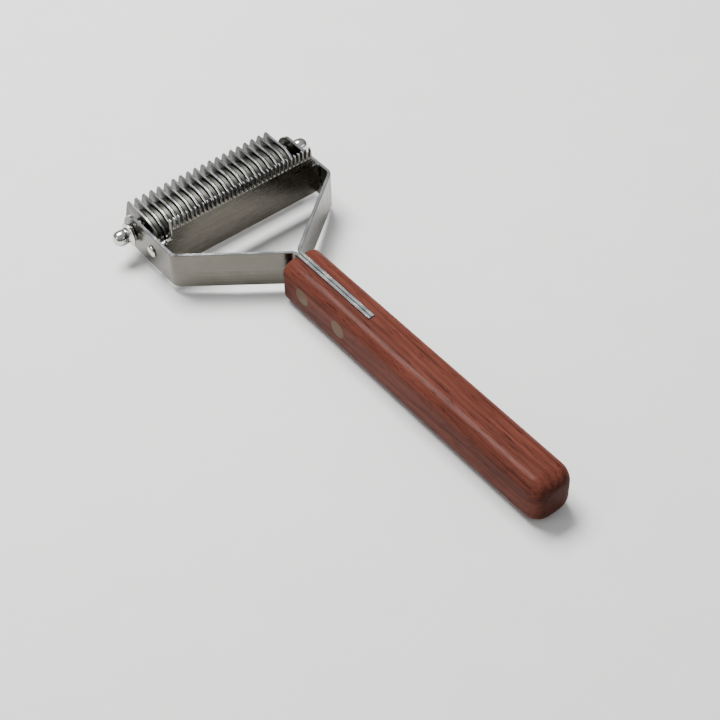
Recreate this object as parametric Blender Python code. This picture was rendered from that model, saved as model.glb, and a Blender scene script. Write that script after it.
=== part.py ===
# A dematting comb lying flat: a wooden handle, a forked steel head, a stack of hooked blades on an
# axle between the fork's arms, and a fine-toothed comb plate standing across the fork behind them.
# Metres, +Z up, X along the axle, Y from the handle towards the blades.
# The origin is under the middle of the whole comb, level with the surface it lies on.

import bpy
import bmesh
from math import cos, pi, radians, sin
from mathutils import Matrix, Vector

for leftover in list(bpy.data.objects):
    bpy.data.objects.remove(leftover)

MM = 0.001
GAP = 0.3 * MM                  # between pieces that touch

# Fork: two bent strips standing on edge
STRIP_THICK = 1.1 * MM
STRIP_HIGH = 12.6 * MM
STRIP_PROUD = 0.3 * MM          # strip's top edge above the handle's top
ARM_PAST_AXLE = 4.6 * MM        # to the tip of the arm's rounded end
PLATE_TO_BEND = 4.4 * MM        # comb plate to where the arms start to run together
HANDLE_TO_JOIN = 1.1 * MM       # handle to where the two strips meet in front of it
STRIP_PAST_RIVET = 7.5 * MM     # rear rivet's middle to the strips' hidden ends
BEND_RADIUS = 3.0 * MM          # on the strip's middle

# Handle
AXLE_TO_HANDLE = 45.4 * MM
HANDLE_LONG = 110.0 * MM
SLOT_FLOOR = 2.9 * MM           # wood left under the strips
HANDLE_WIDE = 13.6 * MM
HANDLE_EDGE = 3.8 * MM          # radius of the long edges
HANDLE_NOSE = 1.4 * MM          # rounding of the front end
HANDLE_TAIL = 5.0 * MM          # rounding of the far end
END_FLAT = 0.5 * MM             # half of the least flat left between the rounded edges
RIVET_ACROSS = 5.8 * MM
RIVET_DROP = 6.4 * MM           # handle's top to the rivets' middle
RIVET_SETBACKS = (9.6 * MM, 26.5 * MM)   # from the handle's front end
RIVET_CHAMFER = 0.2 * MM

# Axle and its nuts
AXLE_ACROSS = 3.0 * MM
AXLE_CHAMFER = 0.3 * MM
WASHER_WALL = 1.1 * MM          # width of the ring round the hole
WASHER_THICK = 0.6 * MM
NUT_FLANGE_WIDE = 1.2 * MM      # from the barrel to the flange's edge
NUT_FLANGE_THICK = 0.5 * MM
NUT_NECK = 0.9 * MM             # length of the flare from the flange to the barrel
NUT_WALL = 0.7 * MM
NUT_HIGH = 5.4 * MM
NUT_DOME = 2.2 * MM             # length of the rounded end
NUT_CROWN = 2.0 * MM            # metal beyond the bore
THREAD_SHORT = 0.6 * MM         # axle's end to the bore's end

# Blade stack
BLADES = 20
BLADE_PITCH = 2.73 * MM
BLADE_THICK = 0.8 * MM
END_SPACER_THICK = 1.765 * MM
END_SPACER_WALL = 1.4 * MM
HUB_HALF_LONG = 7.8 * MM
HUB_HALF_HIGH = 5.4 * MM
HUB_BEHIND_AXLE = 1.5 * MM      # hub centre to axle
HUB_END_TURN = 315              # degrees round the hub where it meets the hollow
SPACER_INSET = 0.45 * MM        # a spacer's edge under the hub's edge
GULLET_RADIUS = 2.2 * MM        # hollow behind the tooth
GULLET_STEP = 0.185 * MM        # hub's end to the hollow's back
GULLET_BELOW = 0.082 * MM       # hub's end to the level of the hollow's middle
TOOTH_TOP_AHEAD = 1.3 * MM      # hollow's middle to the tooth's front top corner
TOOTH_CORNER = 0.8 * MM
TOOTH_LEAN = 4.3 * MM           # front top corner to the tip's front
TIP_CLEAR = 0.7 * MM            # tips above the surface under the handle
TIP_WIDE = 0.6 * MM

# Cross rod that ties the arms behind the blades
ROD_ACROSS = 2.6 * MM
ROD_HEAD_ACROSS = 3.8 * MM
ROD_HEAD_HIGH = 0.7 * MM
ROD_HEAD_ROUNDING = 0.27 * MM   # head's edge drawn in half-way up
ROD_HEAD_FLAT = 1.9 * MM        # across the flat on the head's top

# Fine comb plate, measured up from the arms' lower edges
ROD_TO_PLATE = 4.5 * MM
PLATE_THICK = 1.2 * MM
PLATE_LIFT = 2.8 * MM           # to the plate's lower edge
PLATE_HIGH = 18.1 * MM
FINE_PITCH = 1.466 * MM
FINE_TOOTH_LONG = 3.7 * MM
FINE_ROOT = 0.86 * MM
FINE_TIP = 0.40 * MM
PLATE_SHOULDER_WIDE = 2.3 * MM  # plain end beside the first tooth
PLATE_SHOULDER_DROP = 7.0 * MM  # tooth tips to the plain end's top

STRIP_BOTTOM = SLOT_FLOOR
HANDLE_HIGH = SLOT_FLOOR + STRIP_HIGH - STRIP_PROUD
AXLE_HIGH = STRIP_BOTTOM + STRIP_HIGH / 2
AXLE_BORE = AXLE_ACROSS + 2 * GAP
HUB_END_Y = HUB_HALF_LONG * cos(radians(HUB_END_TURN)) - HUB_BEHIND_AXLE
HUB_END_DROP = -HUB_HALF_HIGH * sin(radians(HUB_END_TURN))
GULLET_REACH = HUB_END_Y + GULLET_STEP + GULLET_RADIUS
GULLET_DROP = HUB_END_DROP + GULLET_BELOW
TOOTH_TOP_REACH = GULLET_REACH + TOOTH_TOP_AHEAD
TIP_REACH = TOOTH_TOP_REACH + TOOTH_LEAN
TIP_DROP = AXLE_HIGH - TIP_CLEAR
AXLE_Y = (AXLE_TO_HANDLE + HANDLE_LONG - TIP_REACH) / 2
ROD_Y = -(HUB_BEHIND_AXLE + HUB_HALF_LONG + GAP + ROD_ACROSS / 2)
AXLE_TO_PLATE = ROD_ACROSS / 2 - ROD_Y + ROD_TO_PLATE + PLATE_THICK / 2
AXLE_TO_BEND = AXLE_TO_PLATE + PLATE_THICK / 2 + PLATE_TO_BEND
AXLE_TO_JOIN = AXLE_TO_HANDLE - HANDLE_TO_JOIN
STRIP_IN_HANDLE = max(RIVET_SETBACKS) + STRIP_PAST_RIVET
NUT_ACROSS = AXLE_BORE + 2 * NUT_WALL
NUT_FLANGE_ACROSS = NUT_ACROSS + 2 * NUT_FLANGE_WIDE
NUT_BORE_DEEP = NUT_HIGH - NUT_CROWN
WASHER_ACROSS = AXLE_BORE + 2 * WASHER_WALL
END_SPACER_ACROSS = AXLE_BORE + 2 * END_SPACER_WALL
STRIP_MIDDLE = (STRIP_THICK + GAP) / 2
STACK_HALF = ((BLADES - 1) * BLADE_PITCH + BLADE_THICK) / 2
ARM_INSIDE = STACK_HALF + END_SPACER_THICK + 2 * GAP
ARM_OUTSIDE = ARM_INSIDE + STRIP_THICK
HANDLE_FRONT = AXLE_Y - AXLE_TO_HANDLE
RIVET_HIGH = HANDLE_HIGH - RIVET_DROP


def material(name, colour, roughness, metallic):
    made = bpy.data.materials.new(name)
    made.use_nodes = True
    shader = made.node_tree.nodes["Principled BSDF"]
    shader.inputs["Base Color"].default_value = (*colour, 1)
    shader.inputs["Roughness"].default_value = roughness
    shader.inputs["Metallic"].default_value = metallic
    return made


def piece(name, mesh_maker, finish, smooth=40):
    """One object named NAME whose mesh MESH_MAKER has filled, shaded smooth up to SMOOTH degrees."""
    mesh = bpy.data.meshes.new(name)
    body = bmesh.new()
    mesh_maker(body)
    bmesh.ops.recalc_face_normals(body, faces=body.faces)
    body.to_mesh(mesh)
    body.free()
    mesh.materials.append(finish)
    mesh.shade_smooth()
    mesh.set_sharp_from_angle(angle=radians(smooth))
    obj = bpy.data.objects.new(name, mesh)
    bpy.context.scene.collection.objects.link(obj)
    return obj


def arc(centre, radius, start, end, steps, high=None):
    """Points from angle START to END, in degrees, on a circle, or on an ellipse HIGH half-high."""
    high = radius if high is None else high
    angles = [radians(start + (end - start) * i / steps) for i in range(steps + 1)]
    return [(centre[0] + radius * cos(a), centre[1] + high * sin(a)) for a in angles]


def prism(body, loops, place, thickness):
    """A flat sheet with LOOPS[0] as its outline and the rest as holes, THICKNESS deep along PLACE's Z."""
    edges = []
    for loop in loops:
        points = [body.verts.new((x, y, -thickness / 2)) for x, y in loop]
        edges += [body.edges.new((points[i - 1], points[i])) for i in range(len(points))]
    filled = bmesh.ops.triangle_fill(body, edges=edges, use_beauty=True)["geom"]
    faces = [item for item in filled if isinstance(item, bmesh.types.BMFace)]
    grown = bmesh.ops.extrude_face_region(body, geom=faces)["geom"]
    raised = [item for item in grown if isinstance(item, bmesh.types.BMVert)]
    bmesh.ops.translate(body, verts=raised, vec=(0, 0, thickness))
    bmesh.ops.transform(body, matrix=place, verts=body.verts)


def turned(body, profile, sides):
    """A closed solid turned about X from PROFILE, a list of (x, radius) whose first and last radius is 0."""
    rings = []
    for x, radius in profile:
        if radius == 0:
            rings.append([body.verts.new((x, 0, 0))])
        else:
            turns = [2 * pi * i / sides for i in range(sides)]
            rings.append([body.verts.new((x, radius * cos(t), radius * sin(t))) for t in turns])
    for one, two in zip(rings, rings[1:]):
        for i in range(sides):
            j = (i + 1) % sides
            corners = [one[i % len(one)], one[j % len(one)], two[j % len(two)], two[i % len(two)]]
            kept = list(dict.fromkeys(corners))
            body.faces.new(kept)


# YZ outlines are drawn as (y, z) and laid across X
ACROSS_X = Matrix(((0, 0, 1, 0), (1, 0, 0, 0), (0, 1, 0, 0), (0, 0, 0, 1)))
# XZ outlines are drawn as (x, z) and laid across Y
ACROSS_Y = Matrix(((1, 0, 0, 0), (0, 0, 1, 0), (0, 1, 0, 0), (0, 0, 0, 1)))


def cut_by(obj, cutter):
    """Takes CUTTER out of OBJ and keeps it as a hidden guide."""
    cutter.hide_render = True
    cutter.display_type = "WIRE"
    cut = obj.modifiers.new(cutter.name, "BOOLEAN")
    cut.operation = "DIFFERENCE"
    cut.solver = "EXACT"
    cut.object = cutter


satin_steel = material("satin_steel", (0.52, 0.54, 0.54), 0.34, 1.0)
blade_steel = material("blade_steel", (0.46, 0.46, 0.45), 0.28, 1.0)
plated_steel = material("plated_steel", (0.72, 0.72, 0.70), 0.16, 1.0)
rivet_metal = material("rivet_metal", (0.30, 0.22, 0.13), 0.45, 0.8)
red_wood = material("red_wood", (0.20, 0.052, 0.030), 0.38, 0.0)


def rounded_path(corners, radius, steps):
    """The polyline through CORNERS with each inner corner replaced by an arc."""
    points = [Vector(corners[0])]
    for before, here, after in zip(corners, corners[1:], corners[2:]):
        here = Vector(here)
        back = (Vector(before) - here).normalized()
        on = (Vector(after) - here).normalized()
        half = back.angle(on) / 2
        centre = here + (back + on).normalized() * (radius / sin(half))
        reach = radius * cos(half) / sin(half)
        first = here + back * reach - centre
        turn = first.angle_signed(here + on * reach - centre)
        for i in range(steps + 1):
            a = -turn * i / steps
            spun = Vector((first.x * cos(a) - first.y * sin(a), first.x * sin(a) + first.y * cos(a)))
            points.append(centre + spun)
    points.append(Vector(corners[-1]))
    return points


def strip_outline(path, thickness):
    """The closed outline of a strip THICKNESS wide along PATH."""
    left, right = [], []
    for i, point in enumerate(path):
        along = (path[min(i + 1, len(path) - 1)] - path[max(i - 1, 0)]).normalized()
        side = Vector((-along.y, along.x)) * thickness / 2
        left.append(tuple(point + side))
        right.append(tuple(point - side))
    return left + right[::-1]


def cross_hole(name, y, z, across):
    """A round cutter along X at Y from the axle, right through the head."""
    reach = ARM_OUTSIDE + STRIP_THICK
    cutter = piece(name, lambda body: turned(
        body, [(-reach, 0), (-reach, across / 2), (reach, across / 2), (reach, 0)], 24), satin_steel)
    cutter.location = (0, AXLE_Y + y, z)
    return cutter


axle_hole = cross_hole("axle_hole", 0, AXLE_HIGH, AXLE_BORE)
rod_hole = cross_hole("rod_hole", ROD_Y, AXLE_HIGH, ROD_ACROSS + 2 * GAP)
rivet_holes = [cross_hole(f"rivet_hole_{i}", -AXLE_TO_HANDLE - setback, RIVET_HIGH,
                          RIVET_ACROSS + 2 * GAP) for i, setback in enumerate(RIVET_SETBACKS)]


def end_rounding():
    """What is cut away to round both arms' front ends: a block with a half-round notch facing back."""
    half = STRIP_HIGH / 2
    deep = half + STRIP_THICK
    middle = AXLE_Y + ARM_PAST_AXLE - half
    front = middle + half + STRIP_THICK
    notch = arc((middle, AXLE_HIGH), half, 90, -90, 16)
    outline = [(middle, AXLE_HIGH - deep), (front, AXLE_HIGH - deep), (front, AXLE_HIGH + deep),
               (middle, AXLE_HIGH + deep)]
    reach = 2 * (ARM_OUTSIDE + STRIP_THICK)
    return piece("arm_end_cutter", lambda body: prism(body, [outline + notch], ACROSS_X, reach),
                 satin_steel)


arm_end_cutter = end_rounding()


def fork_arm(name, side):
    """One bent strip: SIDE is -1 for the left arm and 1 for the right."""
    apart = ARM_INSIDE + STRIP_THICK / 2
    corners = [(STRIP_MIDDLE, -AXLE_TO_HANDLE - STRIP_IN_HANDLE), (STRIP_MIDDLE, -AXLE_TO_JOIN),
               (apart, -AXLE_TO_BEND), (apart, ARM_PAST_AXLE)]
    path = rounded_path([(side * x, AXLE_Y + y) for x, y in corners], BEND_RADIUS, 6)
    arm = piece(name, lambda body: prism(body, [strip_outline(path, STRIP_THICK)],
                                         Matrix.Translation((0, 0, AXLE_HIGH)), STRIP_HIGH),
                satin_steel)
    for cutter in (arm_end_cutter, axle_hole, rod_hole, *rivet_holes):
        cut_by(arm, cutter)
    return arm


fork_arm("left_fork_arm", -1)
fork_arm("right_fork_arm", 1)


def handle_section(y, inset):
    """The handle's rounded outline at Y, drawn in by INSET all round."""
    least = min(HANDLE_WIDE, HANDLE_HIGH) / 2 - inset
    edge = min(HANDLE_EDGE - inset / 3, least - END_FLAT)
    across = HANDLE_WIDE / 2 - inset - edge
    up = HANDLE_HIGH / 2 - inset - edge
    points = []
    for i, (right, above) in enumerate(((1, 1), (-1, 1), (-1, -1), (1, -1))):
        points += arc((right * across, above * up), edge, 90 * i, 90 * i + 90, 6)
    return [(x, y, HANDLE_HIGH / 2 + z) for x, z in points]


def handle_body(body):
    """Rounded sections along the handle, drawn in at both ends."""
    back = HANDLE_FRONT - HANDLE_LONG
    nose = [(HANDLE_FRONT - HANDLE_NOSE * (1 - sin(t)), HANDLE_NOSE * (1 - cos(t)))
            for t in (pi / 2, pi / 3, pi / 6, 0)]
    tail = [(back + HANDLE_TAIL * (1 - sin(t)), HANDLE_TAIL * (1 - cos(t)) * 2 / 3)
            for t in (radians(a) for a in (0, 18, 36, 54, 70, 82, 90))]
    rings = [[body.verts.new(p) for p in handle_section(y, inset)] for y, inset in nose + tail]
    for one, two in zip(rings, rings[1:]):
        for i in range(len(one)):
            body.faces.new((one[i - 1], one[i], two[i], two[i - 1]))
    body.faces.new(rings[0])
    body.faces.new(rings[-1])


handle = piece("handle", handle_body, red_wood, 50)
slot_half = STRIP_MIDDLE + STRIP_THICK / 2 + GAP
slot_long = STRIP_IN_HANDLE + GAP
slot_bottom = STRIP_BOTTOM - GAP
slot = piece("handle_slot", lambda body: prism(
    body, [[(-slot_half, -slot_long), (slot_half, -slot_long),
            (slot_half, slot_long), (-slot_half, slot_long)]],
    Matrix.Translation((0, HANDLE_FRONT, slot_bottom + HANDLE_HIGH / 2)), HANDLE_HIGH), red_wood)
for cutter in (slot, *rivet_holes):
    cut_by(handle, cutter)


def both_ends(half_profile):
    """A symmetrical turning profile from the (x, radius) points of its right half, middle outwards."""
    return [(-x, radius) for x, radius in half_profile[::-1]] + half_profile


for name, setback in zip(("front_rivet", "rear_rivet"), RIVET_SETBACKS):
    rivet = piece(name, lambda body: turned(body, both_ends([
        (HANDLE_WIDE / 2 - RIVET_CHAMFER, RIVET_ACROSS / 2),
        (HANDLE_WIDE / 2, RIVET_ACROSS / 2 - RIVET_CHAMFER), (HANDLE_WIDE / 2, 0)]), 24), rivet_metal)
    rivet.location = (0, HANDLE_FRONT - setback, RIVET_HIGH)

nut_face = ARM_OUTSIDE + GAP + WASHER_THICK + GAP
axle_half = nut_face + NUT_BORE_DEEP - THREAD_SHORT
axle = piece("axle_rod", lambda body: turned(body, both_ends([
    (axle_half - AXLE_CHAMFER, AXLE_ACROSS / 2), (axle_half, AXLE_ACROSS / 2 - AXLE_CHAMFER),
    (axle_half, 0)]), 20), plated_steel)
axle.location = (0, AXLE_Y, AXLE_HIGH)

rod_end = ARM_OUTSIDE + GAP
rod = piece("cross_rod", lambda body: turned(body, both_ends([
    (rod_end, ROD_ACROSS / 2), (rod_end, ROD_HEAD_ACROSS / 2),
    (rod_end + ROD_HEAD_HIGH / 2, ROD_HEAD_ACROSS / 2 - ROD_HEAD_ROUNDING),
    (rod_end + ROD_HEAD_HIGH, ROD_HEAD_FLAT / 2), (rod_end + ROD_HEAD_HIGH, 0)]), 20), satin_steel)
rod.location = (0, AXLE_Y + ROD_Y, AXLE_HIGH)


def ring(name, across, x, thick, finish):
    """A flat ring round the axle, THICK long, with its middle at X."""
    made = piece(name, lambda body: prism(
        body, [arc((0, 0), across / 2, 0, 345, 23), arc((0, 0), AXLE_BORE / 2, 0, 337.5, 15)],
        ACROSS_X, thick), finish)
    made.location = (x, AXLE_Y, AXLE_HIGH)
    return made


def acorn_nut(name, side):
    """A flanged, domed nut with a blind bore, its open face towards the arm; SIDE is -1 left, 1 right."""
    bore = AXLE_BORE / 2
    barrel = NUT_ACROSS / 2
    neck_end = NUT_FLANGE_THICK + NUT_NECK
    profile = [(NUT_BORE_DEEP, 0), (NUT_BORE_DEEP, bore), (0, bore), (0, NUT_FLANGE_ACROSS / 2),
               (NUT_FLANGE_THICK, NUT_FLANGE_ACROSS / 2), (neck_end, barrel)]
    profile += [(NUT_HIGH - NUT_DOME * (1 - sin(t)), barrel * cos(t) ** 0.6)
                for t in (radians(a) for a in (0, 15, 30, 45, 60, 75))] + [(NUT_HIGH, 0)]
    nut = piece(name, lambda body: turned(body, [(side * x, r) for x, r in profile], 24), plated_steel)
    nut.location = (side * nut_face, AXLE_Y, AXLE_HIGH)
    return nut


for name, side in (("left", -1), ("right", 1)):
    acorn_nut(f"{name}_acorn_nut", side)
    ring(f"{name}_washer", WASHER_ACROSS, side * (ARM_OUTSIDE + GAP + WASHER_THICK / 2), WASHER_THICK,
         plated_steel)
    ring(f"{name}_end_spacer", END_SPACER_ACROSS, side * (ARM_INSIDE - GAP - END_SPACER_THICK / 2),
         END_SPACER_THICK, blade_steel)


# Blade outlines are (y, z) from the axle
def hub_arc(inset, start, end, steps):
    return arc((-HUB_BEHIND_AXLE, 0), HUB_HALF_LONG - inset, start, end, steps, HUB_HALF_HIGH - inset)


def blade_outline():
    """Round hub, level top edge, and a tooth that hooks down past a round hollow."""
    tip = Vector((TIP_REACH, -TIP_DROP))
    corner = Vector((TOOTH_TOP_REACH, HUB_HALF_HIGH))
    down = (tip - corner).normalized()
    back = Vector((-1, 0))
    points = hub_arc(0, 90, HUB_END_TURN, 22)
    points += arc((GULLET_REACH, -GULLET_DROP), GULLET_RADIUS, 175, 15, 8)
    points += [(tip.x - TIP_WIDE, tip.y), (tip.x - TIP_WIDE / 4, tip.y), tuple(tip - down * TIP_WIDE)]
    points += [tuple(corner + down * TOOTH_CORNER), tuple(corner + (down + back) * TOOTH_CORNER / 4),
               tuple(corner + back * TOOTH_CORNER)]
    return points


axle_bore = arc((0, 0), AXLE_BORE / 2, 0, 330, 11)
for k in range(BLADES):
    x = (k - (BLADES - 1) / 2) * BLADE_PITCH
    blade = piece(f"blade_{k + 1:02d}", lambda body: prism(
        body, [blade_outline(), axle_bore], ACROSS_X, BLADE_THICK), blade_steel)
    blade.location = (x, AXLE_Y, AXLE_HIGH)
    if k:
        spacer = piece(f"spacer_{k:02d}", lambda body: prism(
            body, [hub_arc(SPACER_INSET, 0, 345, 23), axle_bore], ACROSS_X,
            BLADE_PITCH - BLADE_THICK - 2 * GAP), blade_steel)
        spacer.location = (x - BLADE_PITCH / 2, AXLE_Y, AXLE_HIGH)


def plate_outline():
    """The comb plate's (x, z) outline: square lower corners, shoulders, then the row of fine teeth."""
    wide = ARM_INSIDE - GAP
    top = STRIP_BOTTOM + PLATE_LIFT + PLATE_HIGH
    root = top - FINE_TOOTH_LONG
    shoulder = top - PLATE_SHOULDER_DROP
    teeth = int((2 * (wide - PLATE_SHOULDER_WIDE) - FINE_ROOT) / FINE_PITCH) + 1
    row = (teeth - 1) / 2 * FINE_PITCH
    bottom = STRIP_BOTTOM + PLATE_LIFT
    points = [(-wide, bottom), (wide, bottom), (wide, shoulder), (row + FINE_ROOT / 2, shoulder)]
    for i in range(teeth):
        x = row - i * FINE_PITCH
        if i:
            points.append((x + FINE_ROOT / 2, root))
        points += [(x + FINE_TIP / 2, top), (x - FINE_TIP / 2, top)]
        if i < teeth - 1:
            points.append((x - FINE_ROOT / 2, root))
    return points + [(-row - FINE_ROOT / 2, shoulder), (-wide, shoulder)]


plate = piece("comb_plate", lambda body: prism(body, [plate_outline()], ACROSS_Y, PLATE_THICK),
              satin_steel)
plate.location = (0, AXLE_Y - AXLE_TO_PLATE, 0)
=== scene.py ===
from math import cos, hypot, pi, radians, sin

import bmesh
import bpy
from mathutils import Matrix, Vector


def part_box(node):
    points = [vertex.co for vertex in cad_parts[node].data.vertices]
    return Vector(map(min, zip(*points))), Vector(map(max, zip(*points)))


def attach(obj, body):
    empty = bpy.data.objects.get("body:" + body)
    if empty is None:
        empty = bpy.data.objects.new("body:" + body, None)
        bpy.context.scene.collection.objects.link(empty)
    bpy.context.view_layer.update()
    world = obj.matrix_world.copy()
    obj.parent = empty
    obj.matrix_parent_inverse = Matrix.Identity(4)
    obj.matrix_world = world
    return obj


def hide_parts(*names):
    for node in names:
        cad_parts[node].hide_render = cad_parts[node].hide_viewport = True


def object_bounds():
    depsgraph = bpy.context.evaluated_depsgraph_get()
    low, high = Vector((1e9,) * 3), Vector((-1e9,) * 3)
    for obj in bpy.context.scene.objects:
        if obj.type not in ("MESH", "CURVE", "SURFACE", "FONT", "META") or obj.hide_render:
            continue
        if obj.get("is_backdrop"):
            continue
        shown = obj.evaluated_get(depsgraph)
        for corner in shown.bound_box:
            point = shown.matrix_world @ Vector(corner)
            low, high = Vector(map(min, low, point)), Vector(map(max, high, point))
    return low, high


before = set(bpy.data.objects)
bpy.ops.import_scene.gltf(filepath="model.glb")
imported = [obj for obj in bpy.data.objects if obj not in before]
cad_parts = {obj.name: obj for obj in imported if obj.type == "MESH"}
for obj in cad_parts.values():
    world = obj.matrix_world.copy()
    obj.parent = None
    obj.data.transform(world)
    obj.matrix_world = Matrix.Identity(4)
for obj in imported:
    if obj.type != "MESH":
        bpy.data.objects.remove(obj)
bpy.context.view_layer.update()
MM = 0.001


# ---- Fork arms ------------------------------------------------------------------------------
# Two stainless strips, cut from flat stock, bent cold and stood on edge. They lie side by side in
# the handle's slot, spread into a V and run parallel to carry the head. Their front ends are
# rounded and every long edge has been tumbled to a fine chamfer.

STRIP_THICK = 1.1 * MM
STRIP_CHAMFER = 0.12 * MM
BEND_RADIUS = 3.0 * MM
AXLE_TO_BEND = 22.3 * MM
AXLE_TO_JOIN = 44.3 * MM
STRIPS_APART = 0.12 * MM
BEND_STEPS = 14
FRONT_STEPS = 18
FRONT_END_TURN = 2
MERGE_WITHIN = 1e-7
# How bright each face of a strip is coloured: chamfers and narrow edges part wear, part painted highlight.
FACE_WEAR_AND_GLINT, CHAMFER_WEAR_AND_GLINT, EDGE_WEAR_AND_GLINT = 0.0, 0.3, 0.8

axle_low, axle_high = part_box("axle_rod")
axle = (axle_low + axle_high) / 2
arm_low, arm_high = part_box("right_fork_arm")


def link(name, mesh):
    """A new object at the world origin that shows MESH."""
    obj = bpy.data.objects.new(name, mesh)
    bpy.context.scene.collection.objects.link(obj)
    return obj


def made(name, shape, finish, smooth=30):
    """A piece whose mesh SHAPE fills, its normals outwards and shaded smooth up to SMOOTH degrees."""
    mesh = bpy.data.meshes.new(name)
    body = bmesh.new()
    body.faces.layers.float.new("wear_and_glint")
    shape(body)
    bmesh.ops.remove_doubles(body, verts=body.verts, dist=MERGE_WITHIN)
    bmesh.ops.recalc_face_normals(body, faces=body.faces)
    body.to_mesh(mesh)
    body.free()
    mesh.materials.append(finish)
    mesh.shade_smooth()
    mesh.set_sharp_from_angle(angle=radians(smooth))
    return link(name, mesh)


def fit(piece, body, slot, *nodes):
    """The piece rides on BODY in place of NODES; SLOT is not used."""
    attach(piece, body)
    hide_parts(*nodes)
    return piece


def socket(tree, name, kind, way, value=None):
    """A named input or output of the group TREE, with VALUE as its first setting."""
    new = tree.interface.new_socket(name=name, in_out=way, socket_type="NodeSocket" + kind)
    if value is not None:
        new.default_value = value


def node(tree, kind, **settings):
    """A node of KIND; a setting named after an input sets it, any other sets the node's property."""
    new = tree.nodes.new(kind)
    for key, value in settings.items():
        name = key.replace("_", " ").title()
        if hasattr(new, key):
            setattr(new, key, value)
        else:
            new.inputs[name].default_value = value
    return new


def wire(tree, start, end):
    tree.links.new(start, end)


def maths(tree, operation, one, two=0.5):
    """A Math node's output; ONE and TWO are sockets or numbers."""
    new = node(tree, "ShaderNodeMath", operation=operation)
    for i, value in enumerate((one, two)):
        if isinstance(value, (int, float)):
            new.inputs[i].default_value = value
        else:
            wire(tree, value, new.inputs[i])
    return new.outputs[0]


def mixed(tree, share, one, two, blend="MIX"):
    """A colour between ONE and TWO; each is a socket or a colour, and SHARE a socket or a number."""
    new = node(tree, "ShaderNodeMix", data_type="RGBA", blend_type=blend)
    for slot_number, value in ((0, share), (6, one), (7, two)):
        if hasattr(value, "links"):
            wire(tree, value, new.inputs[slot_number])
        elif slot_number == 0:
            new.inputs[0].default_value = value
        else:
            new.inputs[slot_number].default_value = (*value, 1)
    return new.outputs[2]


def spread(tree, value, low, high, to_low, to_high):
    """VALUE between LOW and HIGH spread over TO_LOW to TO_HIGH, held at both ends."""
    new = node(tree, "ShaderNodeMapRange")
    wire(tree, value, new.inputs[0])
    for i, number in enumerate((low, high, to_low, to_high)):
        new.inputs[i + 1].default_value = number
    return new.outputs[0]


STEEL_LINE_SHADE, STEEL_CLOUD_SHADE = 0.22, 0.05
STEEL_LINE_ROUGH, STEEL_CLOUD_ROUGH, STEEL_WORN_SMOOTH = 0.07, 0.05, 0.08
STEEL_DARK, STEEL_LIGHT = (0.62, 0.60, 0.57), (1.40, 1.40, 1.38)
# The colour given to edges, part wear and part painted highlight.
WEAR_AND_GLINT_STEEL = (0.74, 0.76, 0.76)


def steel_surface():
    """Shared look of worked steel: fine lines, faint clouds, and edges brightened as wear and painted
    highlight.
    """
    tree = bpy.data.node_groups.new("steel surface", "ShaderNodeTree")
    socket(tree, "Lines", "Vector", "INPUT")
    socket(tree, "Clouds", "Vector", "INPUT")
    socket(tree, "Wear And Glint", "Float", "INPUT", 0.0)
    socket(tree, "Colour", "Color", "INPUT", (0.5, 0.5, 0.5, 1))
    socket(tree, "Rough", "Float", "INPUT", 0.3)
    socket(tree, "Line Depth", "Float", "INPUT", 0.5)
    for name, kind in (("Colour", "Color"), ("Roughness", "Float"), ("Height", "Float")):
        socket(tree, name, kind, "OUTPUT")
    given = node(tree, "NodeGroupInput")
    result = node(tree, "NodeGroupOutput")
    lines = node(tree, "ShaderNodeTexNoise", scale=1.0, detail=4.0, roughness=0.65)
    wire(tree, given.outputs["Lines"], lines.inputs["Vector"])
    clouds = node(tree, "ShaderNodeTexNoise", scale=1.0, detail=3.0)
    wire(tree, given.outputs["Clouds"], clouds.inputs["Vector"])
    line = spread(tree, lines.outputs[0], 0.35, 0.65, -1.0, 1.0)
    line = maths(tree, "MULTIPLY", line, given.outputs["Line Depth"])
    cloud = spread(tree, clouds.outputs[0], 0.35, 0.65, -1.0, 1.0)
    shade = maths(tree, "ADD", maths(tree, "MULTIPLY", line, STEEL_LINE_SHADE),
                  maths(tree, "MULTIPLY", cloud, STEEL_CLOUD_SHADE))
    dark = mixed(tree, 1.0, given.outputs["Colour"], STEEL_DARK, "MULTIPLY")
    light = mixed(tree, 1.0, given.outputs["Colour"], STEEL_LIGHT, "MULTIPLY")
    base = mixed(tree, spread(tree, shade, -0.3, 0.3, 0.0, 1.0), dark, light)
    wire(tree, mixed(tree, given.outputs["Wear And Glint"], base, WEAR_AND_GLINT_STEEL), result.inputs["Colour"])
    rough = maths(tree, "ADD", given.outputs["Rough"], maths(tree, "MULTIPLY", line, STEEL_LINE_ROUGH))
    rough = maths(tree, "ADD", rough, maths(tree, "MULTIPLY", cloud, STEEL_CLOUD_ROUGH))
    smoothed = maths(tree, "MULTIPLY", given.outputs["Wear And Glint"], STEEL_WORN_SMOOTH)
    rough = maths(tree, "SUBTRACT", rough, smoothed)
    wire(tree, rough, result.inputs["Roughness"])
    wire(tree, line, result.inputs["Height"])
    return tree


steel_group = steel_surface()
STEEL_CLOUDS = (220, 220, 220)
STEEL_RELIEF = 0.02 * MM


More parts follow.
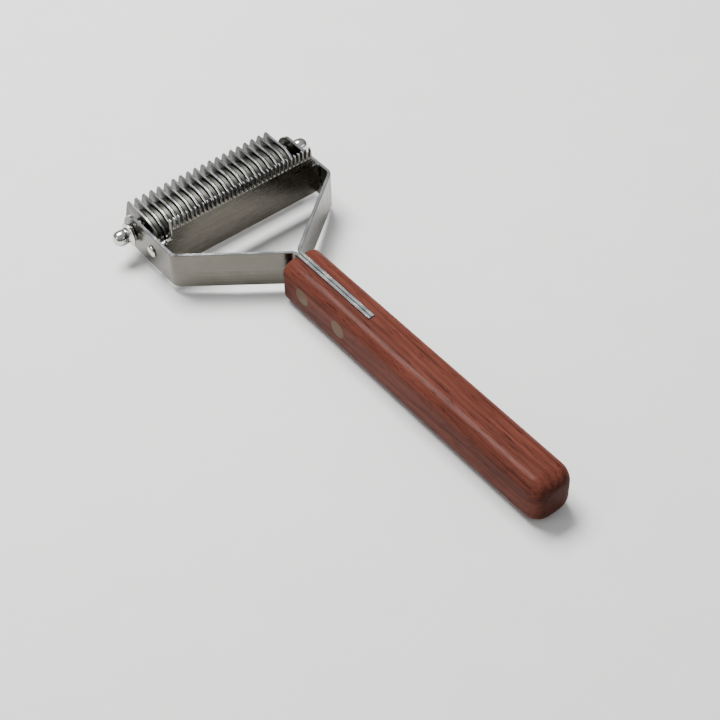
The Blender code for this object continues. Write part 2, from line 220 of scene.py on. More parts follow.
def steel(name, colour, rough, stretch, line_depth, bump, uv=None):
    """A steel finish whose lines run where STRETCH is small, on Object coordinates or the UV map."""
    finish = bpy.data.materials.new(name)
    finish.use_nodes = True
    tree = finish.node_tree
    shader = tree.nodes["Principled BSDF"]
    shader.inputs["Metallic"].default_value = 1.0
    if uv:
        place = node(tree, "ShaderNodeUVMap", uv_map=uv).outputs[0]
    else:
        place = node(tree, "ShaderNodeTexCoord").outputs["Object"]
    surface = node(tree, "ShaderNodeGroup", node_tree=steel_group)
    surface.inputs["Colour"].default_value = (*colour, 1)
    surface.inputs["Rough"].default_value = rough
    surface.inputs["Line Depth"].default_value = line_depth
    for way, scale in (("Lines", stretch), ("Clouds", STEEL_CLOUDS)):
        mapping = node(tree, "ShaderNodeMapping")
        mapping.inputs["Scale"].default_value = scale
        wire(tree, place, mapping.inputs[0])
        wire(tree, mapping.outputs[0], surface.inputs[way])
    wear_and_glint = node(tree, "ShaderNodeAttribute", attribute_name="wear_and_glint")
    wire(tree, wear_and_glint.outputs["Fac"], surface.inputs["Wear And Glint"])
    relief = node(tree, "ShaderNodeBump", strength=bump)
    relief.inputs["Distance"].default_value = STEEL_RELIEF
    wire(tree, surface.outputs["Height"], relief.inputs["Height"])
    wire(tree, surface.outputs["Colour"], shader.inputs["Base Color"])
    wire(tree, surface.outputs["Roughness"], shader.inputs["Roughness"])
    wire(tree, relief.outputs[0], shader.inputs["Normal"])
    return finish


satin_strip = steel("satin strip", colour=(0.145, 0.138, 0.122), rough=0.22, stretch=(14, 7000, 7000),
                    line_depth=0.6, bump=0.15, uv="strip")


def arc(centre, radius, start, end, steps, high=None):
    """Points from angle START to END, in degrees, on a circle, or on an ellipse HIGH half-high."""
    high = radius if high is None else high
    turns = [radians(start + (end - start) * i / steps) for i in range(steps + 1)]
    return [(centre[0] + radius * cos(t), centre[1] + high * sin(t)) for t in turns]


def bent_path(side):
    """Stations (x, y, half height) of one strip's middle from its back end to its rounded front."""
    near = (STRIPS_APART + STRIP_THICK) / 2
    far = arm_high.x - STRIP_THICK / 2
    half = (arm_high.z - arm_low.z) / 2
    round_from = arm_high.y - half
    corners = [Vector(p) for p in ((near, arm_low.y), (near, axle.y - AXLE_TO_JOIN),
                                   (far, axle.y - AXLE_TO_BEND), (far, round_from))]
    stations = [(corners[0].x, corners[0].y, half)]
    for before, here, after in zip(corners, corners[1:], corners[2:]):
        back = (before - here).normalized()
        on = (after - here).normalized()
        opening = back.angle(on) / 2
        to_centre = BEND_RADIUS / sin(opening)
        tangent = to_centre * cos(opening)
        centre = here + (back + on).normalized() * to_centre
        first = here + back * tangent - centre
        turn = first.angle_signed(here + on * tangent - centre)
        for i in range(BEND_STEPS + 1):
            a = -turn * i / BEND_STEPS
            stations.append((centre.x + first.x * cos(a) - first.y * sin(a),
                             centre.y + first.x * sin(a) + first.y * cos(a), half))
    for y, z in arc((round_from, 0), half, 90, FRONT_END_TURN, FRONT_STEPS):
        stations.append((far, y, z))
    return [(side * x, y, high) for x, y, high in stations]


def strip(body, side):
    """A chamfered strip on edge along its path, with a UV map that runs along it in metres."""
    wear_and_glint = body.faces.layers.float["wear_and_glint"]
    uv = body.loops.layers.uv.new("strip")
    path = bent_path(side)
    middle = (arm_low.z + arm_high.z) / 2
    half, cut = STRIP_THICK / 2, STRIP_CHAMFER
    rings, run, runs = [], 0, []
    tall, wide, slant = arm_high.z - arm_low.z, STRIP_THICK - 2 * cut, 1.4 * cut
    around = [0]
    for width in (tall, slant, wide, slant) * 2:
        around.append(around[-1] + width)
    for i, (x, y, high) in enumerate(path):
        one, two = path[max(i - 1, 0)], path[min(i + 1, len(path) - 1)]
        along = Vector((two[0] - one[0], two[1] - one[1])).normalized()
        across = Vector((-along.y, along.x))
        if i:
            run += hypot(x - path[i - 1][0], y - path[i - 1][1])
        runs.append(run)
        top = high - min(cut, high / 2)
        low = -top
        shape = ((half, low), (half, top), (half - cut, top + cut), (-half + cut, top + cut),
                 (-half, top), (-half, low), (-half + cut, low - cut), (half - cut, low - cut))
        rings.append([body.verts.new((x + across.x * w, y + across.y * w, middle + z)) for w, z in shape])
    for k, (one, two) in enumerate(zip(rings, rings[1:])):
        for i in range(8):
            j = (i + 1) % 8
            face = body.faces.new((one[i], one[j], two[j], two[i]))
            # The narrow edges and chamfers are coloured bright, part wear and part painted highlight.
            face[wear_and_glint] = FACE_WEAR_AND_GLINT if i in (0, 4) else EDGE_WEAR_AND_GLINT if i in (2, 6) else CHAMFER_WEAR_AND_GLINT
            for loop, at, up in zip(face.loops, (k, k, k + 1, k + 1), (i, i + 1, i + 1, i)):
                loop[uv].uv = (runs[at], around[up])
    body.faces.new(rings[0])
    body.faces.new(rings[-1])


for side_name, side in (("left", -1), ("right", 1)):
    arm = made(f"{side_name}_arm_strip", lambda body: strip(body, side), satin_strip, 25)
    fit(arm, "root", "satin_steel", f"{side_name}_fork_arm")


# ---- Handle ---------------------------------------------------------------------------------
# One length of reddish hardwood with rounded edges and a deep slot sawn into its front half for
# the two strips. It is sanded, stained and rubbed with oil to a soft shine, and its far end shows
# darker end grain.

HANDLE_EDGE = 3.8 * MM
HANDLE_NOSE = 1.4 * MM
HANDLE_TAIL = 5.2 * MM
HANDLE_CORNER_STEPS = 12
NOSE_STEPS, TAIL_STEPS, LENGTH_STEPS = 6, 16, 12
TAIL_SQUARENESS = 2 / 3
SLOT_CLEARANCE = 0.10 * MM
PAST_WOOD = 5 * MM
RIVET_FIT = 0.02 * MM
RIVET_SIDES = 56
WOOD_SMOOTH = 40

handle_low, handle_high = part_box("handle")
handle_half = (handle_high.x - handle_low.x) / 2
handle_mid = (handle_high.z + handle_low.z) / 2
rivet_boxes = {name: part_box(name) for name in ("front_rivet", "rear_rivet")}

RING_APART = 2.1 * MM
RING_WANDER = 4.5 * MM
RING_SHARE, FIBRE_SHARE, PATCH_SHARE = 0.20, 0.42, 0.36
PORE_DARKNESS = 0.75
FIBRE_ROUGH, PORE_ROUGH, WOOD_ROUGH = 0.10, 0.22, 0.33
FIBRE_RELIEF = 0.25
WOOD_RELIEF = 0.06 * MM
END_GRAIN = (0.022, 0.008, 0.006)


def wood_grain():
    """Look of the hardwood: wandering growth rings, fibres and dark open pores along the wood."""
    tree = bpy.data.node_groups.new("wood grain", "ShaderNodeTree")
    socket(tree, "Place", "Vector", "INPUT")
    for name in ("Light", "Dark", "Pore"):
        socket(tree, name, "Color", "INPUT", (0.3, 0.1, 0.05, 1))
    for name, kind in (("Colour", "Color"), ("Roughness", "Float"), ("Height", "Float")):
        socket(tree, name, kind, "OUTPUT")
    given = node(tree, "NodeGroupInput")
    result = node(tree, "NodeGroupOutput")

    def stretched_noise(scale, detail, rough=0.55):
        mapping = node(tree, "ShaderNodeMapping")
        mapping.inputs["Scale"].default_value = scale
        wire(tree, given.outputs["Place"], mapping.inputs[0])
        noise = node(tree, "ShaderNodeTexNoise", scale=1.0, detail=detail, roughness=rough)
        wire(tree, mapping.outputs[0], noise.inputs["Vector"])
        return noise.outputs[0]

    split = node(tree, "ShaderNodeSeparateXYZ")
    wire(tree, given.outputs["Place"], split.inputs[0])
    across = maths(tree, "MULTIPLY", split.outputs[0], split.outputs[0])
    up = maths(tree, "MULTIPLY", split.outputs[2], split.outputs[2])
    away = maths(tree, "SQRT", maths(tree, "ADD", across, up))
    wander = maths(tree, "SUBTRACT", stretched_noise((150, 14, 150), 3), 0.5)
    wander = maths(tree, "MULTIPLY", wander, RING_WANDER)
    rings = maths(tree, "MULTIPLY", maths(tree, "ADD", away, wander), 2 * pi / RING_APART)
    ring = maths(tree, "ADD", maths(tree, "MULTIPLY", maths(tree, "SINE", rings), 0.5), 0.5)
    fibre = spread(tree, stretched_noise((2200, 45, 2200), 4, 0.7), 0.3, 0.7, 0.0, 1.0)
    patch = spread(tree, stretched_noise((260, 22, 260), 3), 0.35, 0.68, 0.0, 1.0)
    shade = maths(tree, "ADD", maths(tree, "MULTIPLY", ring, RING_SHARE),
                  maths(tree, "MULTIPLY", fibre, FIBRE_SHARE))
    shade = maths(tree, "ADD", shade, maths(tree, "MULTIPLY", patch, PATCH_SHARE))
    colour = mixed(tree, shade, given.outputs["Light"], given.outputs["Dark"])
    pores = spread(tree, stretched_noise((3600, 160, 3600), 2), 0.60, 0.68, 0.0, 1.0)
    streaks = spread(tree, stretched_noise((900, 18, 900), 3, 0.6), 0.60, 0.74, 0.0, 0.7)
    colour = mixed(tree, streaks, colour, given.outputs["Pore"])
    colour = mixed(tree, maths(tree, "MULTIPLY", pores, PORE_DARKNESS), colour, given.outputs["Pore"])
    wire(tree, colour, result.inputs["Colour"])
    rough = maths(tree, "ADD", maths(tree, "MULTIPLY", fibre, FIBRE_ROUGH),
                  maths(tree, "MULTIPLY", pores, PORE_ROUGH))
    wire(tree, maths(tree, "ADD", rough, WOOD_ROUGH), result.inputs["Roughness"])
    height = maths(tree, "SUBTRACT", maths(tree, "MULTIPLY", fibre, FIBRE_RELIEF), pores)
    wire(tree, height, result.inputs["Height"])
    return tree


def oiled_wood():
    """Stained and oiled wood on Object coordinates, darker where the end grain faces out."""
    finish = bpy.data.materials.new("oiled red wood")
    finish.use_nodes = True
    tree = finish.node_tree
    shader = tree.nodes["Principled BSDF"]
    shader.inputs["Coat Weight"].default_value = 0.045
    shader.inputs["Coat Roughness"].default_value = 0.16
    shader.inputs["Specular IOR Level"].default_value = 0.02
    place = node(tree, "ShaderNodeTexCoord").outputs["Object"]
    mapping = node(tree, "ShaderNodeMapping")
    mapping.inputs["Location"].default_value = (0.011, 0.0, -0.031)
    mapping.inputs["Rotation"].default_value = (radians(1.6), radians(24), radians(1.2))
    wire(tree, place, mapping.inputs[0])
    grain = node(tree, "ShaderNodeGroup", node_tree=wood_grain())
    grain.inputs["Light"].default_value = (0.175, 0.052, 0.035, 1)
    grain.inputs["Dark"].default_value = (0.040, 0.012, 0.009, 1)
    grain.inputs["Pore"].default_value = (0.016, 0.005, 0.004, 1)
    wire(tree, mapping.outputs[0], grain.inputs["Place"])
    facing = node(tree, "ShaderNodeSeparateXYZ")
    wire(tree, node(tree, "ShaderNodeNewGeometry").outputs["Normal"], facing.inputs[0])
    end_on = spread(tree, maths(tree, "ABSOLUTE", facing.outputs[1]), 0.45, 0.95, 0.0, 0.62)
    wire(tree, mixed(tree, end_on, grain.outputs["Colour"], END_GRAIN), shader.inputs["Base Color"])
    wire(tree, grain.outputs["Roughness"], shader.inputs["Roughness"])
    relief = node(tree, "ShaderNodeBump", strength=0.35)
    relief.inputs["Distance"].default_value = WOOD_RELIEF
    wire(tree, grain.outputs["Height"], relief.inputs["Height"])
    wire(tree, relief.outputs[0], shader.inputs["Normal"])
    return finish


red_wood = oiled_wood()


def handle_section(y, inset):
    """The handle's rounded outline at Y, drawn in by INSET all round."""
    edge = HANDLE_EDGE - inset / 3
    across = handle_half - inset - edge
    up = handle_mid - handle_low.z - inset - edge
    points = []
    for i, (right, above) in enumerate(((1, 1), (-1, 1), (-1, -1), (1, -1))):
        points += arc((right * across, above * up), edge, 90 * i, 90 * i + 90, HANDLE_CORNER_STEPS)
    return [(x, y, handle_mid + z) for x, z in points]


def handle_blank(body):
    """Rounded sections from the nose to the tail, drawn in along an ellipse at both ends."""
    front, back = handle_high.y, handle_low.y
    stations = [(front - HANDLE_NOSE * (1 - sin(t)), HANDLE_NOSE * (1 - cos(t)))
                for t in (radians(90 - 90 * i / NOSE_STEPS) for i in range(NOSE_STEPS + 1))]
    first, last = front - HANDLE_NOSE, back + HANDLE_TAIL
    stations += [(first + (last - first) * i / LENGTH_STEPS, 0) for i in range(1, LENGTH_STEPS)]
    stations += [(back + HANDLE_TAIL * (1 - sin(t)), HANDLE_TAIL * (1 - cos(t)) * TAIL_SQUARENESS)
                 for t in (radians(90 * i / TAIL_STEPS) for i in range(TAIL_STEPS + 1))]
    rings = [[body.verts.new(p) for p in handle_section(y, inset)] for y, inset in stations]
    for one, two in zip(rings, rings[1:]):
        for i in range(len(one)):
            body.faces.new((one[i - 1], one[i], two[i], two[i - 1]))
    body.faces.new(rings[0])
    body.faces.new(rings[-1])


def block(body, low, high):
    """A closed box between two corners."""
    bmesh.ops.create_cube(body, size=1.0)
    low, high = Vector(low), Vector(high)
    bmesh.ops.scale(body, vec=high - low, verts=body.verts)
    bmesh.ops.translate(body, vec=(low + high) / 2, verts=body.verts)


def turned(body, profile, sides, centre):
    """A solid turned about a line along X through CENTRE from (x, radius) points; 0 closes an end."""
    rings = []
    for x, radius in profile:
        if radius == 0:
            rings.append([body.verts.new((centre[0] + x, centre[1], centre[2]))])
        else:
            turns = [2 * pi * i / sides for i in range(sides)]
            rings.append([body.verts.new((centre[0] + x, centre[1] + radius * cos(t),
                                          centre[2] + radius * sin(t))) for t in turns])
    for one, two in zip(rings, rings[1:]):
        for i in range(sides):
            j = (i + 1) % sides
            corners = [one[i % len(one)], one[j % len(one)], two[j % len(two)], two[i % len(two)]]
            body.faces.new(list(dict.fromkeys(corners)))


def plain_mesh(piece):
    """PIECE keeps what its modifiers make of it, as a mesh of its own."""
    whole = piece.evaluated_get(bpy.context.evaluated_depsgraph_get())
    piece.data = bpy.data.meshes.new_from_object(whole)
    piece.modifiers.clear()


def taken_out(piece, cutters):
    """PIECE with every cutter's shape removed, as a plain mesh."""
    for cutter in cutters:
        cut = piece.modifiers.new(cutter.name, "BOOLEAN")
        cut.operation, cut.solver, cut.object = "DIFFERENCE", "EXACT", cutter
    plain_mesh(piece)
    piece.data.set_sharp_from_angle(angle=radians(WOOD_SMOOTH))
    for cutter in cutters:
        bpy.data.objects.remove(cutter)
    return piece


slot_half = STRIPS_APART / 2 + STRIP_THICK + SLOT_CLEARANCE
cutters = [made("slot_cutter", lambda body: block(
    body, (-slot_half, arm_low.y - SLOT_CLEARANCE, arm_low.z - SLOT_CLEARANCE),
    (slot_half, handle_high.y + PAST_WOOD, handle_high.z + PAST_WOOD)), red_wood)]
for name, (low, high) in rivet_boxes.items():
    across = (high.z - low.z) / 2 + RIVET_FIT
    cutters.append(made(f"{name}_cutter", lambda body: turned(
        body, [(-2 * handle_half, 0), (-2 * handle_half, across), (2 * handle_half, across),
               (2 * handle_half, 0)], RIVET_SIDES, (low + high) / 2), red_wood))
handle = taken_out(made("wooden_handle", handle_blank, red_wood, WOOD_SMOOTH), cutters)
fit(handle, "root", "red_wood", "handle")


# ---- Rivets ---------------------------------------------------------------------------------
# Two soft brass-coloured rivets go through the wood and both strips. Their ends are hammered
# over and then sanded flush with the handle, which leaves them dull and scratched.

RIVET_CROWN = 0.05 * MM
CROWN_STEPS = 8
rivet_finish = steel("rivet end", colour=(0.105, 0.062, 0.034), rough=0.50, stretch=(700, 700, 700),
                     line_depth=0.8, bump=0.4)
for name, (low, high) in rivet_boxes.items():
    radius, reach = (high.z - low.z) / 2, (high.x - low.x) / 2
    half = [(reach - RIVET_CROWN * (i / CROWN_STEPS) ** 2, radius * i / CROWN_STEPS)
            for i in range(CROWN_STEPS + 1)]
    rivet = made(f"{name}_pin", lambda body: turned(
        body, [(-x, r) for x, r in half] + half[::-1], RIVET_SIDES, (low + high) / 2), rivet_finish)
    fit(rivet, "root", "rivet_metal", name)


# ---- Cross rod ------------------------------------------------------------------------------
# A plain steel rod ties the arms behind the blades and keeps them from turning. Its ends are
# reduced, pushed through the arms and riveted over into small round heads.

ROD_ACROSS = 2.6 * MM
ROD_SIDES = 40
HEAD_HIGH = 0.7 * MM
HEAD_STEPS = 9
bright_rod = steel("bright rod", colour=(0.58, 0.58, 0.56), rough=0.20, stretch=(250, 6000, 6000),
                   line_depth=0.6, bump=0.2)
rod_low, rod_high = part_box("cross_rod")
rod_end, head = rod_high.x, (rod_high.z - rod_low.z) / 2
half = [(rod_end - HEAD_HIGH * (1 - cos(t)), head * sin(t))
        for t in (radians(90 * i / HEAD_STEPS) for i in range(HEAD_STEPS + 1))]
half += [(rod_end - HEAD_HIGH, ROD_ACROSS / 2)]
rod = made("tie_rod", lambda body: turned(
    body, [(-x, r) for x, r in half] + half[::-1], ROD_SIDES, (rod_low + rod_high) / 2), bright_rod)
fit(rod, "root", "satin_steel", "cross_rod")


# ---- Comb plate -----------------------------------------------------------------------------
# A stamped stainless plate stands across the fork behind the blades. A row of fine teeth is
# milled into its top and ground to blunt points; its ends are left plain and lower.

PLATE_SHOULDER_DROP = 7.0 * MM
FINE_PITCH = 1.466 * MM
FINE_TOOTH_LONG = 3.7 * MM
FINE_ROOT = 0.86 * MM
FINE_TIP = 0.40 * MM
FINE_TEETH = 36
FINE_FOOT_HIGH = 0.45 * MM
FINE_TAPER_FROM = 0.9 * MM
FINE_POINT_FROM = 0.35 * MM
FINE_BLUNTING = 0.12 * MM
FINE_CORNER = 0.35
# From this level up the teeth are coloured bright: painted highlight at the tips, over the grinding.
FINE_WEAR_AND_GLINT_FROM = 3
PLATE_CHAMFER = 0.16 * MM
PLATE_CORNER = 1.2 * MM
PLATE_CORNER_STEPS = 5

plate_low, plate_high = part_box("comb_plate")
# The plate's steel is coloured dark as painted shade.
plate_finish = steel("satin plate", colour=(0.110, 0.102, 0.088), rough=0.25, stretch=(130, 7000, 7000),
                     line_depth=0.8, bump=0.25)


def drawn_in(outline):
    """For each point of a closed OUTLINE, the unit way in and the share that keeps an edge parallel."""
    count = len(outline)
    ways = []
    for i, point in enumerate(outline):
        one = (Vector(point) - Vector(outline[i - 1])).normalized()
        two = (Vector(outline[(i + 1) % count]) - Vector(point)).normalized()
        in_one = Vector((-one.y, one.x))
        way = (in_one + Vector((-two.y, two.x))).normalized()
        ways.append((way, max(0.5, way.dot(in_one))))
    return ways


def slab(body, outline, span, chamfer):
    """A chamfered sheet with its OUTLINE in XZ between the two Y values of SPAN."""
    wear_and_glint = body.faces.layers.float["wear_and_glint"]
    count = len(outline)
    inner = [Vector(point) + way * chamfer / share
             for point, (way, share) in zip(outline, drawn_in(outline))]
    near, far = span
    layers = []
    for loop, y in ((inner, near), (outline, near + chamfer), (outline, far - chamfer), (inner, far)):
        layers.append([body.verts.new((x, y, z)) for x, z in loop])
    for k, (one, two) in enumerate(zip(layers, layers[1:])):
        for i in range(count):
            face = body.faces.new((one[i - 1], one[i], two[i], two[i - 1]))
            # The chamfers are coloured brighter than the faces, part wear and part painted highlight.
            face[wear_and_glint] = 0.0 if k == 1 else 0.6
    body.faces.new(layers[0])
    body.faces.new(layers[-1])


def plate_blank(body):
    """The plate without its teeth: a chamfered sheet with a raised middle and lower, plain ends."""
    wide, soft, steps = plate_high.x, PLATE_CORNER, PLATE_CORNER_STEPS
    root = plate_high.z - FINE_TOOTH_LONG + PLATE_CHAMFER
    shoulder = plate_high.z - PLATE_SHOULDER_DROP
    row = (FINE_TEETH - 1) / 2 * FINE_PITCH + FINE_ROOT / 2
    outline = arc((-wide + soft, plate_low.z + soft), soft, 180, 270, steps)
    outline += arc((wide - soft, plate_low.z + soft), soft, 270, 360, steps)
    outline += arc((wide - soft, shoulder - soft), soft, 0, 90, steps)
    outline += [(row, shoulder), (row, root), (-row, root), (-row, shoulder)]
    outline += arc((-wide + soft, shoulder - soft), soft, 90, 180, steps)
    slab(body, outline, (plate_low.y, plate_high.y), PLATE_CHAMFER)


def fine_tooth(body):
    """One tooth at X = 0 from just inside the plate to its blunt point."""
    wear_and_glint = body.faces.layers.float["wear_and_glint"]
    middle = (plate_low.y + plate_high.y) / 2
    deep = (plate_high.y - plate_low.y) / 2
    foot = plate_high.z - FINE_TOOTH_LONG
    top = plate_high.z
    levels = ((foot, FINE_ROOT * 0.50, deep), (foot + FINE_FOOT_HIGH, FINE_ROOT * 0.40, deep),
              (top - FINE_TAPER_FROM, FINE_TIP * 0.62, deep),
              (top - FINE_POINT_FROM, FINE_TIP * 0.50, deep * 0.85),
              (top - FINE_BLUNTING, FINE_TIP * 0.48, deep * 0.80), (top, FINE_TIP * 0.38, deep * 0.62))
    rings = []
    for z, wide, thick in levels:
        cut = min(wide, thick) * FINE_CORNER
        shape = ((wide, -thick + cut), (wide, thick - cut), (wide - cut, thick), (-wide + cut, thick),
                 (-wide, thick - cut), (-wide, -thick + cut), (-wide + cut, -thick), (wide - cut, -thick))
        rings.append([body.verts.new((x, middle + y, z)) for x, y in shape])
    for k, (one, two) in enumerate(zip(rings, rings[1:])):
        for i in range(8):
            face = body.faces.new((one[i - 1], one[i], two[i], two[i - 1]))
            # The upper part and the point of each tooth are coloured bright as painted highlight.
            face[wear_and_glint] = 1.0 if k >= FINE_WEAR_AND_GLINT_FROM else 0.1
    body.faces.new(rings[0])
    body.faces.new(rings[-1])[wear_and_glint] = 1.0


def row_of_copies():
    """Geometry Nodes: COUNT copies a PITCH apart along X about the middle, joined with a carrier."""
    tree = bpy.data.node_groups.new("row of copies", "GeometryNodeTree")
    socket(tree, "Geometry", "Geometry", "INPUT")
    socket(tree, "Count", "Int", "INPUT", 2)
    socket(tree, "Pitch", "Float", "INPUT", 0.001)
    socket(tree, "Carrier", "Object", "INPUT")
    socket(tree, "Finish", "Material", "INPUT")
    socket(tree, "Geometry", "Geometry", "OUTPUT")
    given = node(tree, "NodeGroupInput")
    result = node(tree, "NodeGroupOutput")
    gaps = maths(tree, "SUBTRACT", given.outputs["Count"], 1.0)
    start = maths(tree, "MULTIPLY", maths(tree, "MULTIPLY", gaps, given.outputs["Pitch"]), -0.5)
    first = node(tree, "ShaderNodeCombineXYZ")
    step = node(tree, "ShaderNodeCombineXYZ")
    wire(tree, start, first.inputs[0])
    wire(tree, given.outputs["Pitch"], step.inputs[0])
    line = node(tree, "GeometryNodeMeshLine")
    wire(tree, given.outputs["Count"], line.inputs["Count"])
    wire(tree, first.outputs[0], line.inputs["Start Location"])
    wire(tree, step.outputs[0], line.inputs["Offset"])
    copies = node(tree, "GeometryNodeInstanceOnPoints")
    wire(tree, line.outputs[0], copies.inputs["Points"])
    wire(tree, given.outputs["Geometry"], copies.inputs["Instance"])
    real = node(tree, "GeometryNodeRealizeInstances")
    carrier = node(tree, "GeometryNodeObjectInfo")
    wire(tree, given.outputs["Carrier"], carrier.inputs["Object"])
    both = node(tree, "GeometryNodeJoinGeometry")
    wire(tree, copies.outputs[0], both.inputs[0])
    wire(tree, carrier.outputs["Geometry"], both.inputs[0])
    wire(tree, both.outputs[0], real.inputs[0])
    finish = node(tree, "GeometryNodeSetMaterial")
    wire(tree, real.outputs[0], finish.inputs["Geometry"])
    wire(tree, given.outputs["Finish"], finish.inputs["Material"])
    wire(tree, finish.outputs[0], result.inputs[0])
    return tree


copies_tree = row_of_copies()


def repeated(piece, count, pitch, carrier=None):
    """PIECE becomes the plain mesh of COUNT copies of itself a PITCH apart, joined with CARRIER."""
    rows = piece.modifiers.new("row", "NODES")
    rows.node_group = copies_tree
    values = {"Count": count, "Pitch": pitch, "Carrier": carrier, "Finish": piece.data.materials[0]}
    for item in copies_tree.interface.items_tree:
        if item.in_out == "INPUT" and values.get(item.name) is not None:
            rows[item.identifier] = values[item.name]
    plain_mesh(piece)
    if carrier:
        bpy.data.objects.remove(carrier)
    return piece


plate = repeated(made("fine_comb_plate", fine_tooth, plate_finish, 25), FINE_TEETH, FINE_PITCH,
                 made("plate_blank", plate_blank, plate_finish, 25))
fit(plate, "root", "satin_steel", "comb_plate")


# ---- Axle -----------------------------------------------------------------------------------
# A ground steel rod carries the blades and spacers between the arms. A fine thread is rolled on
# each end for the acorn nuts, and shows when a nut is unscrewed.

THREAD_PITCH = 0.5 * MM
THREAD_DEEP = 0.28 * MM
THREAD_STEPS = 6
AXLE_SIDES = 28
AXLE_CHAMFER = 0.3 * MM
plated = steel("polished plating", colour=(0.62, 0.62, 0.60), rough=0.14, stretch=(300, 300, 300),
               line_depth=0.25, bump=0.08)
axle_radius = (axle_high.z - axle_low.z) / 2
thread_start = arm_high.x


def threaded_axle(body):
    """The axle as one skin whose radius follows a helix near both ends."""
    sides, steps = AXLE_SIDES, THREAD_STEPS
    half = axle_high.x - axle.x
    plain = [0, thread_start * 0.5, thread_start - THREAD_PITCH]
    turns = int((half - AXLE_CHAMFER - thread_start) / THREAD_PITCH * steps)
    along = plain + [thread_start + i * THREAD_PITCH / steps for i in range(turns + 1)] + [half]
    stations = [-x for x in along[:0:-1]] + along
    rings = []
    for x in stations:
        fade = min(1, max(0, (abs(x) - thread_start) / THREAD_PITCH))
        close = min(1, (half - abs(x)) / AXLE_CHAMFER)
        ring = []
        for i in range(sides):
            phase = (abs(x) / THREAD_PITCH - i / sides) % 1
            depth = THREAD_DEEP * abs(2 * phase - 1) * fade
            radius = axle_radius - depth - AXLE_CHAMFER * (1 - close)
            turn = 2 * pi * i / sides
            ring.append(body.verts.new((x, axle.y + radius * cos(turn), axle.z + radius * sin(turn))))
        rings.append(ring)
    for one, two in zip(rings, rings[1:]):
        for i in range(sides):
            body.faces.new((one[i - 1], one[i], two[i], two[i - 1]))
    body.faces.new(rings[0])
    body.faces.new(rings[-1])


axle_piece = made("threaded_axle", threaded_axle, plated, 50)
fit(axle_piece, "root", "plated_steel", "axle_rod")


# ---- Spacers --------------------------------------------------------------------------------
# Blanked steel discs, a little smaller than the blades' round backs, sit between the blades.
# A plain round one at each end takes up the last of the room to the arm.

BLADES = 20
blade_boxes = [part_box(f"blade_{k + 1:02d}") for k in range(BLADES)]
pitch = (blade_boxes[-1][0].x - blade_boxes[0][0].x) / (BLADES - 1)
blade_low, blade_high = blade_boxes[0]
HUB_HALF_LONG = 7.8 * MM
HUB_HALF_HIGH = 5.4 * MM
HUB_BEHIND_AXLE = 1.5 * MM
SPACER_INSET = 0.45 * MM
BORE = 1.6 * MM
BORE_SIDES = 24
DISC_CHAMFER = 0.12 * MM
DISC_SIDES = 48
# How bright the discs' and blades' edges are coloured, part wear and part painted highlight.
DISC_WEAR_AND_GLINT = 0.12
RIM_WEAR_AND_GLINT, GROUND_WEAR_AND_GLINT = 0.3, 0.1
WIDEST_CHAMFER = 0.2 * MM
# The spacers' steel is coloured nearly black as painted shade in the gaps between the blades.
spacer_finish = steel("spacer steel", colour=(0.060, 0.058, 0.049), rough=0.36, stretch=(4200, 300, 300),
                      line_depth=0.7, bump=0.3)


def hub_arc(inset, start, end, steps):
    """Points (y, z) from the axle on the blades' round back, drawn in by INSET."""
    return arc((-HUB_BEHIND_AXLE, 0), HUB_HALF_LONG - inset, start, end, steps, HUB_HALF_HIGH - inset)


def whole_round(radius, sides):
    """A closed circle of SIDES points (y, z) about the axle."""
    return arc((0, 0), radius, 0, 360 - 360 / sides, sides - 1)


def disc(body, outline, thick, rim, inset, bright_share):
    """A bored sheet across X: OUTLINE (y, z), RIM half thick at each point, THICK from INSET inwards."""
    wear_and_glint = body.faces.layers.float["wear_and_glint"]
    count = len(outline)
    flat = [Vector(point) + way * deep for point, (way, _), deep in zip(outline, drawn_in(outline), inset)]
    layers = []
    for loop, side in ((flat, -1), (outline, -1), (outline, 1), (flat, 1)):
        edges = [thick / 2] * count if loop is flat else rim
        layers.append([body.verts.new((side * edges[i], axle.y + y, axle.z + z))
                       for i, (y, z) in enumerate(loop)])
    for k, (one, two) in enumerate(zip(layers, layers[1:])):
        for i in range(count):
            face = body.faces.new((one[i - 1], one[i], two[i], two[i - 1]))
            # Chamfers and the narrow ground edge are coloured brightest, part wear and part painted
            # highlight.
            bright = RIM_WEAR_AND_GLINT if k == 1 else GROUND_WEAR_AND_GLINT if inset[i] > WIDEST_CHAMFER else 1.0
            face[wear_and_glint] = bright_share * bright
    bores = []
    for side in (-1, 1):
        ring = [body.verts.new((side * thick / 2, axle.y + y, axle.z + z))
                for y, z in whole_round(BORE, BORE_SIDES)]
        bores.append(ring)
        rim_loop = layers[0] if side < 0 else layers[-1]
        edges = []
        for loop in (rim_loop, ring):
            for i in range(len(loop)):
                found = body.edges.get((loop[i - 1], loop[i]))
                edges.append(found or body.edges.new((loop[i - 1], loop[i])))
        bmesh.ops.triangle_fill(body, edges=edges, use_beauty=True)
    for i in range(BORE_SIDES):
        body.faces.new((bores[0][i - 1], bores[0][i], bores[1][i], bores[1][i - 1]))


def plain_disc(body, outline, thick):
    """A bored sheet with the same small chamfer all round its edge."""
    count = len(outline)
    disc(body, outline, thick, [thick / 2 - DISC_CHAMFER] * count, [DISC_CHAMFER] * count, DISC_WEAR_AND_GLINT)


spacer_low, spacer_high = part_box("spacer_01")
spacers = repeated(made("blade_spacers", lambda body: plain_disc(
    body, hub_arc(SPACER_INSET, 0, 360 - 360 / DISC_SIDES, DISC_SIDES - 1),
    spacer_high.x - spacer_low.x), spacer_finish, 30),
    BLADES - 1, pitch)
fit(spacers, "root", "blade_steel", *[f"spacer_{k:02d}" for k in range(1, BLADES)])


